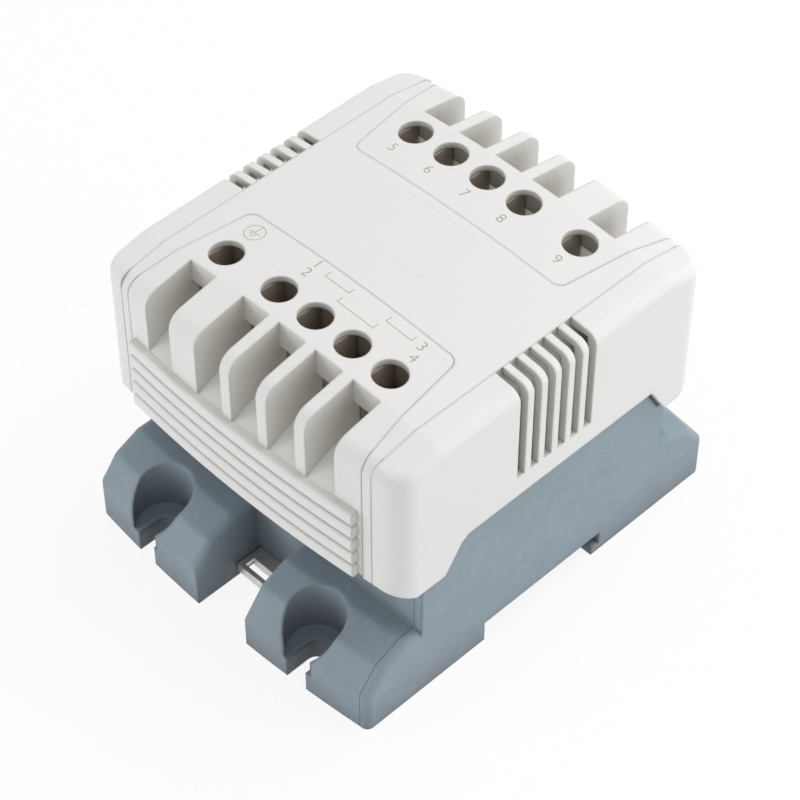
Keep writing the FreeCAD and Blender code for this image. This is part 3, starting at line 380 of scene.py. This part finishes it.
def striped(name, color, pitch, axis, roughness, metallic):
    """A surface of stacked plates or wound turns: even lines across one axis."""
    shading = Shading(name)
    wave = shading.add("ShaderNodeTexWave", {"Scale": 0.314 / pitch, "Distortion": 0.4,
                                             "Detail": 1.0, "Detail Scale": 2.0},
                       {"Vector": shading.place}, bands_direction=axis).outputs["Fac"]
    shading.drive("Base Color", shading.tint(wave, color, 0.35))
    shading.set(Metallic=metallic, Roughness=roughness)
    shading.relief(wave, 0.6, 0.1 * MM)
    return shading.material


def creased_film(name, color):
    """Wrapped film with faint creases."""
    shading = Shading(name)
    crease = shading.noise(3 * MM, detail=6.0)
    shading.drive("Base Color", shading.tint(crease, color, 0.12))
    shading.set(Roughness=0.28)
    shading.relief(crease, 0.3, 0.08 * MM)
    return shading.material


def matt_line(name, color, patch, share, roughness, detail=4.0):
    """A printed or moulded line: matt, and worn a little in patches."""
    shading = Shading(name)
    wear = shading.noise(patch, detail)
    shading.drive("Base Color", shading.tint(wear, color, share))
    shading.set(Roughness=roughness)
    return shading.material


def dress(nodes, material):
    """Give every slot of some CAD nodes a material."""
    for node in nodes:
        for material_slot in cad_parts[node].material_slots:
            material_slot.material = material


def new_piece(name, mesh, material):
    """A finished piece that rides with the housing."""
    piece = bpy.data.objects.new(name, mesh)
    bpy.context.scene.collection.objects.link(piece)
    piece.data.materials.append(material)
    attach(piece, HOUSING)
    return piece


class TRANSFORMER_OT_covers(bpy.types.Operator):
    """Dress the pale covers"""

    bl_idname = "transformer.covers"
    bl_label = "Covers"

    def execute(self, context):
        # the covers get painted shade in their wells, warm in tone
        dress(COVERS, moulded("cover_moulding", settings("cover"), patch=22 * MM,
                              share=0.012, rub=0.08, shade_weights=(1.0, 1.06, 1.3)))
        return {"FINISHED"}


class TRANSFORMER_OT_base(bpy.types.Operator):
    """Dress the blue-grey base"""

    bl_idname = "transformer.base"
    bl_label = "Base"

    def execute(self, context):
        # the base gets painted shade in its hollows, cool in tone
        dress(("base",), moulded("base_moulding", settings("base"), patch=7 * MM,
                                 share=0.09, rub=0.35, shade_weights=(0.93, 1.06, 1.06)))
        return {"FINISHED"}


class TRANSFORMER_OT_clip(bpy.types.Operator):
    """Dress the release clip and put in its spring"""

    bl_idname = "transformer.clip"
    bl_label = "Clip"

    def execute(self, context):
        metal = settings("metal")
        dress(("din_clip",), rough_zinc("clip_zinc", metal.clip, metal.edge * 2))
        self.put_in_spring(plated("spring_wire", metal.zinc, metal.edge * 0.5, 0.26))
        return {"FINISHED"}

    def put_in_spring(self, wire):
        """The coil between the base's peg and the clip, as a piece of its own."""
        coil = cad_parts["clip_spring"].data.copy()
        coil.materials.clear()
        spring = new_piece("clip_spring_coil", coil, wire)
        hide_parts("clip_spring")
        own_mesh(spring)


class TRANSFORMER_OT_terminals(bpy.types.Operator):
    """Dress the terminal blocks, bars, saddles and screws"""

    bl_idname = "transformer.terminals"
    bl_label = "Terminals"

    def execute(self, context):
        metal = settings("metal")
        dress(BLOCKS, inner_moulding("block_moulding", settings("inside").block,
                                     patch=6 * MM, share=0.10, roughness=0.58))
        dress(PLATED, plated("plated_steel", metal.zinc, metal.edge, 0.33))
        dress(("contact_bars", "earth_strap"), plated("bar_brass", metal.brass, metal.edge, 0.30))
        return {"FINISHED"}


class TRANSFORMER_OT_coil(bpy.types.Operator):
    """Dress the core, the bobbin and the windings"""

    bl_idname = "transformer.coil"
    bl_label = "Core and coil"

    def execute(self, context):
        metal, inside = settings("metal"), settings("inside")
        dress(("e_laminations", "i_laminations"),
              striped("core_plates", metal.steel, metal.plate, "Z", 0.45, 0.8))
        dress(("primary_winding", "secondary_winding"),
              striped("wound_wire", metal.copper, metal.wire, "Y", 0.35, 0.6))
        dress(("primary_leads", "secondary_leads"),
              plated("lead_copper", metal.copper, metal.edge * 0.5, 0.30))
        dress(("winding_barrier", "coil_wrap"), creased_film("coil_film", inside.film))
        dress(("bobbin",), inner_moulding("bobbin_moulding", inside.bobbin,
                                          patch=5 * MM, share=0.2, roughness=0.5))
        return {"FINISHED"}


class Marks:
    """Flat printed strokes that follow the crowned top."""

    def __init__(self, lift):
        self.shape = bmesh.new()
        self.lift = lift

    def point(self, x, y):
        """A corner that lies just above the lid."""
        return self.shape.verts.new((x, y, crown_height(x, y) + self.lift))

    def line(self, start, end, width):
        """A straight stroke, in short pieces so that it follows the crown."""
        start, end = Vector(start), Vector(end)
        run = end - start
        side = Vector((-run.y, run.x)).normalized() * (width / 2)
        run = run.normalized() * (width / 2)
        start, end = start - run, end + run
        count = max(1, math.ceil((end - start).length / STROKE_PIECE))
        before = None
        for step in range(count + 1):
            at = start.lerp(end, step / count)
            pair = (self.point(*(at + side)), self.point(*(at - side)))
            if before:
                self.shape.faces.new((before[1], pair[1], pair[0], before[0]))
            before = pair

    def path(self, points, width):
        """Strokes through points."""
        for start, end in zip(points, points[1:]):
            self.line(start, end, width)

    def ring(self, centre, radius, width):
        """A round stroke."""
        turns = [math.tau * step / RING_SIDES for step in range(RING_SIDES)]
        inner, outer = ([self.point(centre[0] + reach * math.cos(turn),
                                    centre[1] + reach * math.sin(turn)) for turn in turns]
                        for reach in (radius - width / 2, radius + width / 2))
        for step in range(RING_SIDES):
            after = (step + 1) % RING_SIDES
            self.shape.faces.new((inner[step], outer[step], outer[after], inner[after]))

    def text(self, words, centre, height):
        """Words in the plain built-in letters, centred on a place."""
        curve = bpy.data.curves.new("mark_letters", "FONT")
        curve.body = words
        curve.size = height * LETTER_SIZE
        curve.align_x, curve.align_y = "CENTER", "CENTER"
        curve.offset = -LETTER_THINNING * height
        letters = bpy.data.objects.new("mark_letters", curve)
        mesh = bpy.data.meshes.new_from_object(letters)
        first = len(self.shape.verts)
        self.shape.from_mesh(mesh)
        self.shape.verts.ensure_lookup_table()
        for vertex in self.shape.verts[first:]:
            x, y = vertex.co.x + centre[0], vertex.co.y + centre[1]
            vertex.co = (x, y, crown_height(x, y) + self.lift)
        bpy.data.objects.remove(letters)
        bpy.data.curves.remove(curve)
        bpy.data.meshes.remove(mesh)

    def finish(self, name, material):
        """The strokes as one piece."""
        mesh = bpy.data.meshes.new(name)
        self.shape.to_mesh(mesh)
        self.shape.free()
        return new_piece(name, mesh, material)


class TRANSFORMER_OT_marks(bpy.types.Operator):
    """Print the terminal numbers, the earth sign and the winding lines"""

    bl_idname = "transformer.marks"
    bl_label = "Marks"

    def execute(self, context):
        group = settings("marks")
        ink = matt_line("mark_ink", group.ink, patch=1.2 * MM, share=0.16, roughness=0.7,
                        detail=5.0)
        self.print_numbers(group, ink)
        self.print_earth(group, ink)
        self.print_windings(group, ink)
        return {"FINISHED"}

    def print_numbers(self, group, ink):
        """Plain numbers beside the terminals, 1 to 4 in front and 5 to 9 at the rear."""
        numbers = Marks(group.lift)
        rear_places = [(x, REAR_NUMBERS) for x in sorted(-place for place in TERMINALS)]
        for number, place in enumerate((*FRONT_NUMBERS, *rear_places), start=1):
            numbers.text(str(number), place, group.digit)
        numbers.finish("terminal_numbers", ink)

    def print_earth(self, group, ink):
        """The earth sign beside the first terminal."""
        sign = Marks(group.lift)
        centre, radius, row_step = Vector(EARTH_SIGN), 2.5 * MM, 0.6 * MM
        sign.ring(centre, radius, group.stroke)
        sign.line(centre + Vector((0, radius)), centre, group.stroke)
        for row, half in enumerate((1.6 * MM, 1.05 * MM, 0.5 * MM)):
            middle = centre - Vector((0, row * row_step))
            reach = Vector((half, 0))
            sign.line(middle - reach, middle + reach, group.stroke)
        sign.finish("earth_sign", ink)

    def print_windings(self, group, ink):
        """Three brackets that stand for the windings of the front terminals."""
        lines = Marks(group.lift)
        drop, leg = 3.5 * MM, 1.6 * MM
        for left, right, level in ((-5.0, 2.4, WINDINGS), (2.4, 13.4, WINDINGS - drop),
                                   (13.9, 21.6, WINDINGS)):
            left, right = left * MM, right * MM
            lines.path([(left, level + leg), (left, level), (right, level),
                        (right, level + leg)], group.stroke)
        lines.finish("winding_lines", ink)


class TRANSFORMER_OT_hairlines(bpy.types.Operator):
    """Add the moulded hairlines of the covers"""

    bl_idname = "transformer.hairlines"
    bl_label = "Hairlines"

    def execute(self, context):
        group = settings("marks")
        hair = matt_line("hairline", group.hairline, patch=2 * MM, share=0.08, roughness=0.6)
        self.outline_label(group, hair)
        self.close_seams(group, hair)
        return {"FINISHED"}

    def outline_label(self, group, hair):
        """The outline of the bare label area on the lid."""
        outline = Marks(group.lift * 0.7)
        (left, low), (right, high) = LABEL_LOW, LABEL_HIGH
        outline.path([(left, low), (right, low), (right, high), (left, high), (left, low)],
                     LABEL_LINE)
        outline.finish("label_outline", hair)

    def close_seams(self, group, hair):
        """The closed seams between the covers, as far as the top is level or sloping."""
        seams = Marks(group.lift * 0.5)
        (near_x, near_y), (far_x, far_y) = LID_CORNERS
        lean = (far_x - near_x) / (far_y - near_y)
        stop_x = near_x + lean * (BROW_START - near_y)
        corner = Vector((near_x, near_y))
        start = corner - Vector((LID_ROUND, 0))
        end = corner + Vector((lean * LID_ROUND, LID_ROUND))
        bend = [start * (1 - t) ** 2 + corner * 2 * t * (1 - t) + end * t * t
                for t in (step / BEND_STEPS for step in range(BEND_STEPS + 1))]
        half = [*bend, Vector((stop_x, BROW_START))]
        for way in (-1, 1):
            left_half = [(-x, way * y) for x, y in reversed(half)]
            right_half = [(x, way * y) for x, y in half]
            seams.path(left_half + right_half, group.seam)
        for side in (-SIDE_SEAM, SIDE_SEAM):
            seams.path([(side, -BROW_START), (side, BROW_START)], group.seam)
        seams.finish("cover_seams", hair)


class TRANSFORMER_OT_split_line(bpy.types.Operator):
    """Add the mould split line of the right front foot"""

    bl_idname = "transformer.split_line"
    bl_label = "Split line"

    def execute(self, context):
        group = settings("marks")
        line = matt_line("split_line", group.split_shade, patch=3 * MM, share=0.15, roughness=0.7)
        mesh = self.trace(SPLIT_PLACE, group.split, group.lift)
        new_piece("split_line", mesh, line)
        return {"FINISHED"}

    def trace(self, place, width, lift):
        """A thin ribbon on the front foot's outer faces where an upright plane meets them."""
        section = bmesh.new()
        section.from_mesh(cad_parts["base"].data)
        cut = bmesh.ops.bisect_plane(section, geom=[*section.verts, *section.edges, *section.faces],
                                     plane_co=(place, 0, 0), plane_no=(1, 0, 0))["geom_cut"]
        ribbon = bmesh.new()
        across = Vector((width / 2, 0, 0))
        for edge in cut:
            if not isinstance(edge, bmesh.types.BMEdge) or not self.outside(edge):
                continue
            out = self.facing(edge).normalized() * lift
            start, end = (vertex.co + out for vertex in edge.verts)
            corners = [ribbon.verts.new(at) for at in
                       (start - across, start + across, end + across, end - across)]
            face = ribbon.faces.new(corners)
            face.normal_update()
            if face.normal.dot(out) < 0:
                face.normal_flip()
        section.free()
        mesh = bpy.data.meshes.new("split_line")
        ribbon.to_mesh(mesh)
        ribbon.free()
        return mesh

    def facing(self, edge):
        """Which way the faces beside an edge look, added up."""
        return sum((face.normal for face in edge.link_faces), Vector())

    def outside(self, edge):
        """Whether an edge of the cut lies on the outer face of the front foot."""
        facing = self.facing(edge)
        in_front = all(vertex.co.y < SPLIT_END for vertex in edge.verts)
        return in_front and facing.y < 1e-3 and facing.z > -0.1


def shown_ray(nodes, links):
    """One where a ray shows a surface: from the camera, in a gloss or through glass."""
    ray = nodes.new("ShaderNodeLightPath").outputs
    seen = ray["Is Camera Ray"]
    for word in ("Is Glossy Ray", "Is Transmission Ray"):
        larger = nodes.new("ShaderNodeMath")
        larger.operation = "MAXIMUM"
        links.new(seen, larger.inputs[0])
        links.new(ray[word], larger.inputs[1])
        seen = larger.outputs["Value"]
    return seen


class TRANSFORMER_OT_stage(bpy.types.Operator):
    """Set the camera, the floor and the lights"""

    bl_idname = "transformer.stage"
    bl_label = "Stage"

    def execute(self, context):
        group = settings("stage")
        self.place_camera(context, group)
        self.lay_floor(context, group)
        self.whiten_room(context, group)
        self.hang_lamps(context, group)
        context.scene.view_settings.view_transform = "Standard"
        return {"FINISHED"}

    def place_camera(self, context, group):
        """The camera at the photograph's angle."""
        data = bpy.data.cameras.new("camera")
        data.sensor_width = 36.0
        data.lens = group.lens
        camera = bpy.data.objects.new("camera", data)
        camera.location = group.camera_place
        camera.rotation_euler = group.camera_turn
        context.scene.collection.objects.link(camera)
        context.scene.camera = camera

    def lay_floor(self, context, group):
        """A wide pale floor that shows white and keeps the soft shadow."""
        mesh = bpy.data.meshes.new("floor")
        reach = 6.0
        level = -0.05 * MM
        mesh.from_pydata([(-reach, -reach, level), (reach, -reach, level),
                          (reach, reach, level), (-reach, reach, level)], [], [(0, 1, 2, 3)])
        floor = bpy.data.objects.new("floor", mesh)
        context.scene.collection.objects.link(floor)
        shading = Shading("floor_paper")
        shading.drive("Base Color", shading.tint(shading.noise(0.4), group.floor, 0.004))
        shading.set(Roughness=0.9, Specular_IOR_Level=0.1)
        self.whiten(shading, group.glow)
        floor.data.materials.append(shading.material)

    def whiten(self, shading, share):
        """Let the floor show as white paper, its shadows kept but pale."""
        seen = shown_ray(shading.nodes, shading.links)
        part = shading.add("ShaderNodeMath", {1: share}, {0: seen},
                           operation="MULTIPLY").outputs["Value"]
        paper = shading.add("ShaderNodeEmission", {"Color": (1.0, 1.0, 1.0, 1.0),
                                                   "Strength": 1.0})
        mix = shading.add("ShaderNodeMixShader", links={
            "Fac": part, 1: shading.surface.outputs["BSDF"], 2: paper.outputs["Emission"]})
        shading.links.new(mix.outputs["Shader"], shading.nodes["Material Output"].inputs["Surface"])

    def whiten_room(self, context, group):
        """Even light from a room that shows plain white."""
        world = bpy.data.worlds.new("room")
        world.use_nodes = True
        nodes, links = world.node_tree.nodes, world.node_tree.links
        room = nodes["Background"]
        room.inputs["Color"].default_value = (1.0, 1.0, 1.0, 1.0)
        strength = nodes.new("ShaderNodeMapRange")
        strength.inputs["To Min"].default_value = group.world
        strength.inputs["To Max"].default_value = 1.0
        links.new(shown_ray(nodes, links), strength.inputs["Value"])
        links.new(strength.outputs["Result"], room.inputs["Strength"])
        context.scene.world = world

    def hang_lamps(self, context, group):
        """A large lamp above and lower ones at two sides, all aimed at the object."""
        target = Vector((0.0, 0.0, 0.04))
        for name, power, size, place in (
                ("key", group.key, 0.8, (0.15, 0.48, 0.85)),
                ("side", group.side, 0.6, (0.76, 0.48, 0.25)),
                ("front", group.front, 0.6, (-0.48, -0.78, 0.12))):
            data = bpy.data.lights.new(name, "AREA")
            data.energy = power
            data.shape = "DISK"
            data.size = size
            lamp = bpy.data.objects.new(name, data)
            context.scene.collection.objects.link(lamp)
            lamp.location = place
            lamp.rotation_euler = (target - Vector(place)).to_track_quat("-Z", "Y").to_euler()


class TRANSFORMER_PT_looks(bpy.types.Panel):
    """The settings and steps in the 3D view's sidebar"""

    bl_idname = "TRANSFORMER_PT_looks"
    bl_label = "Rail Transformer"
    bl_space_type = "VIEW_3D"
    bl_region_type = "UI"
    bl_category = "Transformer"

    def draw(self, context):
        """One box of settings for each group, then a button for each step."""
        for word, group in SETTINGS.items():
            box = self.layout.box()
            box.label(text=group.__doc__)
            for setting in group.__annotations__:
                box.prop(getattr(context.scene, word), setting)
        for operator in OPERATORS:
            self.layout.operator(operator.bl_idname)


OPERATORS = (
    TRANSFORMER_OT_covers,
    TRANSFORMER_OT_base,
    TRANSFORMER_OT_clip,
    TRANSFORMER_OT_terminals,
    TRANSFORMER_OT_coil,
    TRANSFORMER_OT_marks,
    TRANSFORMER_OT_hairlines,
    TRANSFORMER_OT_split_line,
    TRANSFORMER_OT_stage,
)


def register():
    """Register the settings, the steps and the panel."""
    for word, group in SETTINGS.items():
        bpy.utils.register_class(group)
        setattr(bpy.types.Scene, word, PointerProperty(type=group))
    for item in (*OPERATORS, TRANSFORMER_PT_looks):
        bpy.utils.register_class(item)


def unregister():
    """Take away what register added, in the reverse order."""
    for item in (TRANSFORMER_PT_looks, *reversed(OPERATORS)):
        bpy.utils.unregister_class(item)
    for word, group in reversed(SETTINGS.items()):
        delattr(bpy.types.Scene, word)
        bpy.utils.unregister_class(group)


def main():
    """Build everything in order."""
    register()
    for operator in OPERATORS:
        package, name = operator.bl_idname.split(".")
        getattr(getattr(bpy.ops, package), name)()


if __name__ == "__main__":
    main()
